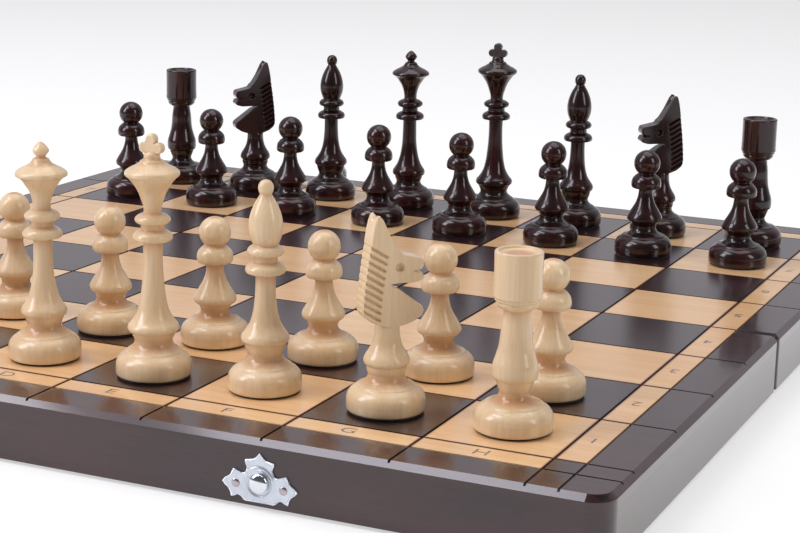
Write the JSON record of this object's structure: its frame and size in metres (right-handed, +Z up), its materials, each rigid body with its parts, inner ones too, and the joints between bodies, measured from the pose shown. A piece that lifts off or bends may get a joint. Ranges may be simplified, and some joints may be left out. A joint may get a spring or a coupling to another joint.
{
  "type": "chess set with folding board",
  "caption": "Folding wooden chess box, opened flat as a board with inlaid squares and lettered edge, set up with turned light and dark men.",
  "frame": {"origin": "middle of the open board in plan, on the plane of the lowest metal (the hinge knuckles), which is the table it stands on", "axes": "+X along rank 1 from file a to file h, +Y from rank 1 (the white side) to rank 8, +Z up"},
  "size_m": [0.498, 0.5052, 0.1321],
  "materials": {
    "dark_wood": "plum-brown stained hardwood under semi-gloss lacquer",
    "pale_wood": "pale maple veneer under satin lacquer",
    "white_men": "turned pale maple or boxwood, satin lacquer, dark felt under the foot",
    "black_men": "turned wood stained near black with a red-brown glow, gloss lacquer, dark felt under the foot",
    "bright_fittings": "stamped steel with bright nickel plating",
    "hinge_brass": "small brass butt hinges and screws, plain"
  },
  "bodies": {
    "near_half": {"near_front_rail": "dark_wood", "near_left_rail": "dark_wood", "near_right_rail": "dark_wood", "near_spine_rail": "dark_wood", "near_top_board": "dark_wood", "near_light_squares": "pale_wood", "near_dark_squares": "dark_wood", "near_label_strips": "pale_wood", "near_hinge_leaves": "hinge_brass", "hinge_pins": "hinge_brass", "near_hinge_screws": "hinge_brass", "catch_plates": "bright_fittings", "catch_studs": "bright_fittings", "catch_nails": "bright_fittings"},
    "far_half": {"far_back_rail": "dark_wood", "far_left_rail": "dark_wood", "far_right_rail": "dark_wood", "far_spine_rail": "dark_wood", "far_top_board": "dark_wood", "far_light_squares": "pale_wood", "far_dark_squares": "dark_wood", "far_label_strips": "pale_wood", "far_hinge_leaves": "hinge_brass", "far_hinge_screws": "hinge_brass", "hasp_leaves": "bright_fittings", "hasp_nails": "bright_fittings"},
    "left_hasp": {"left_hasp": "bright_fittings"},
    "right_hasp": {"right_hasp": "bright_fittings"},
    "black_bishop_c": {"black_bishop_c": "black_men"},
    "black_bishop_f": {"black_bishop_f": "black_men"},
    "black_king": {"black_king": "black_men"},
    "black_knight_b": {"black_knight_b": "black_men"},
    "black_knight_g": {"black_knight_g": "black_men"},
    "black_pawn_a": {"black_pawn_a": "black_men"},
    "black_pawn_b": {"black_pawn_b": "black_men"},
    "black_pawn_c": {"black_pawn_c": "black_men"},
    "black_pawn_d": {"black_pawn_d": "black_men"},
    "black_pawn_e": {"black_pawn_e": "black_men"},
    "black_pawn_f": {"black_pawn_f": "black_men"},
    "black_pawn_g": {"black_pawn_g": "black_men"},
    "black_pawn_h": {"black_pawn_h": "black_men"},
    "black_queen": {"black_queen": "black_men"},
    "black_rook_a": {"black_rook_a": "black_men"},
    "black_rook_h": {"black_rook_h": "black_men"},
    "white_bishop_c": {"white_bishop_c": "white_men"},
    "white_bishop_f": {"white_bishop_f": "white_men"},
    "white_king": {"white_king": "white_men"},
    "white_knight_b": {"white_knight_b": "white_men"},
    "white_knight_g": {"white_knight_g": "white_men"},
    "white_pawn_a": {"white_pawn_a": "white_men"},
    "white_pawn_b": {"white_pawn_b": "white_men"},
    "white_pawn_c": {"white_pawn_c": "white_men"},
    "white_pawn_d": {"white_pawn_d": "white_men"},
    "white_pawn_e": {"white_pawn_e": "white_men"},
    "white_pawn_f": {"white_pawn_f": "white_men"},
    "white_pawn_g": {"white_pawn_g": "white_men"},
    "white_pawn_h": {"white_pawn_h": "white_men"},
    "white_queen": {"white_queen": "white_men"},
    "white_rook_a": {"white_rook_a": "white_men"},
    "white_rook_h": {"white_rook_h": "white_men"}
  },
  "joints": [
    {"name": "board_fold", "type": "hinge", "parent": "near_half", "child": "far_half", "pos_m": [0, 0, 0.00125], "axis": [-1, 0, 0], "range_deg": [0, 180]},
    {"name": "left_hasp_swing", "type": "hinge", "parent": "far_half", "child": "left_hasp", "pos_m": [-0.1087, 0.251, 0.01085], "axis": [-1, 0, 0], "range_deg": [0, 180]},
    {"name": "right_hasp_swing", "type": "hinge", "parent": "far_half", "child": "right_hasp", "pos_m": [0.1087, 0.251, 0.01085], "axis": [-1, 0, 0], "range_deg": [0, 180]},
    {"name": "black_bishop_c_lift", "type": "slide", "parent": "far_half", "child": "black_bishop_c", "axis": [0, 0, 1], "range_m": [0, 0.11]},
    {"name": "black_bishop_f_lift", "type": "slide", "parent": "far_half", "child": "black_bishop_f", "axis": [0, 0, 1], "range_m": [0, 0.11]},
    {"name": "black_king_lift", "type": "slide", "parent": "far_half", "child": "black_king", "axis": [0, 0, 1], "range_m": [0, 0.11]},
    {"name": "black_knight_b_lift", "type": "slide", "parent": "far_half", "child": "black_knight_b", "axis": [0, 0, 1], "range_m": [0, 0.11]},
    {"name": "black_knight_g_lift", "type": "slide", "parent": "far_half", "child": "black_knight_g", "axis": [0, 0, 1], "range_m": [0, 0.11]},
    {"name": "black_pawn_a_lift", "type": "slide", "parent": "far_half", "child": "black_pawn_a", "axis": [0, 0, 1], "range_m": [0, 0.11]},
    {"name": "black_pawn_b_lift", "type": "slide", "parent": "far_half", "child": "black_pawn_b", "axis": [0, 0, 1], "range_m": [0, 0.11]},
    {"name": "black_pawn_c_lift", "type": "slide", "parent": "far_half", "child": "black_pawn_c", "axis": [0, 0, 1], "range_m": [0, 0.11]},
    {"name": "black_pawn_d_lift", "type": "slide", "parent": "far_half", "child": "black_pawn_d", "axis": [0, 0, 1], "range_m": [0, 0.11]},
    {"name": "black_pawn_e_lift", "type": "slide", "parent": "far_half", "child": "black_pawn_e", "axis": [0, 0, 1], "range_m": [0, 0.11]},
    {"name": "black_pawn_f_lift", "type": "slide", "parent": "far_half", "child": "black_pawn_f", "axis": [0, 0, 1], "range_m": [0, 0.11]},
    {"name": "black_pawn_g_lift", "type": "slide", "parent": "far_half", "child": "black_pawn_g", "axis": [0, 0, 1], "range_m": [0, 0.11]},
    {"name": "black_pawn_h_lift", "type": "slide", "parent": "far_half", "child": "black_pawn_h", "axis": [0, 0, 1], "range_m": [0, 0.11]},
    {"name": "black_queen_lift", "type": "slide", "parent": "far_half", "child": "black_queen", "axis": [0, 0, 1], "range_m": [0, 0.11]},
    {"name": "black_rook_a_lift", "type": "slide", "parent": "far_half", "child": "black_rook_a", "axis": [0, 0, 1], "range_m": [0, 0.11]},
    {"name": "black_rook_h_lift", "type": "slide", "parent": "far_half", "child": "black_rook_h", "axis": [0, 0, 1], "range_m": [0, 0.11]},
    {"name": "white_bishop_c_lift", "type": "slide", "parent": "near_half", "child": "white_bishop_c", "axis": [0, 0, 1], "range_m": [0, 0.11]},
    {"name": "white_bishop_f_lift", "type": "slide", "parent": "near_half", "child": "white_bishop_f", "axis": [0, 0, 1], "range_m": [0, 0.11]},
    {"name": "white_king_lift", "type": "slide", "parent": "near_half", "child": "white_king", "axis": [0, 0, 1], "range_m": [0, 0.11]},
    {"name": "white_knight_b_lift", "type": "slide", "parent": "near_half", "child": "white_knight_b", "axis": [0, 0, 1], "range_m": [0, 0.11]},
    {"name": "white_knight_g_lift", "type": "slide", "parent": "near_half", "child": "white_knight_g", "axis": [0, 0, 1], "range_m": [0, 0.11]},
    {"name": "white_pawn_a_lift", "type": "slide", "parent": "near_half", "child": "white_pawn_a", "axis": [0, 0, 1], "range_m": [0, 0.11]},
    {"name": "white_pawn_b_lift", "type": "slide", "parent": "near_half", "child": "white_pawn_b", "axis": [0, 0, 1], "range_m": [0, 0.11]},
    {"name": "white_pawn_c_lift", "type": "slide", "parent": "near_half", "child": "white_pawn_c", "axis": [0, 0, 1], "range_m": [0, 0.11]},
    {"name": "white_pawn_d_lift", "type": "slide", "parent": "near_half", "child": "white_pawn_d", "axis": [0, 0, 1], "range_m": [0, 0.11]},
    {"name": "white_pawn_e_lift", "type": "slide", "parent": "near_half", "child": "white_pawn_e", "axis": [0, 0, 1], "range_m": [0, 0.11]},
    {"name": "white_pawn_f_lift", "type": "slide", "parent": "near_half", "child": "white_pawn_f", "axis": [0, 0, 1], "range_m": [0, 0.11]},
    {"name": "white_pawn_g_lift", "type": "slide", "parent": "near_half", "child": "white_pawn_g", "axis": [0, 0, 1], "range_m": [0, 0.11]},
    {"name": "white_pawn_h_lift", "type": "slide", "parent": "near_half", "child": "white_pawn_h", "axis": [0, 0, 1], "range_m": [0, 0.11]},
    {"name": "white_queen_lift", "type": "slide", "parent": "near_half", "child": "white_queen", "axis": [0, 0, 1], "range_m": [0, 0.11]},
    {"name": "white_rook_a_lift", "type": "slide", "parent": "near_half", "child": "white_rook_a", "axis": [0, 0, 1], "range_m": [0, 0.11]},
    {"name": "white_rook_h_lift", "type": "slide", "parent": "near_half", "child": "white_rook_h", "axis": [0, 0, 1], "range_m": [0, 0.11]}
  ]
}
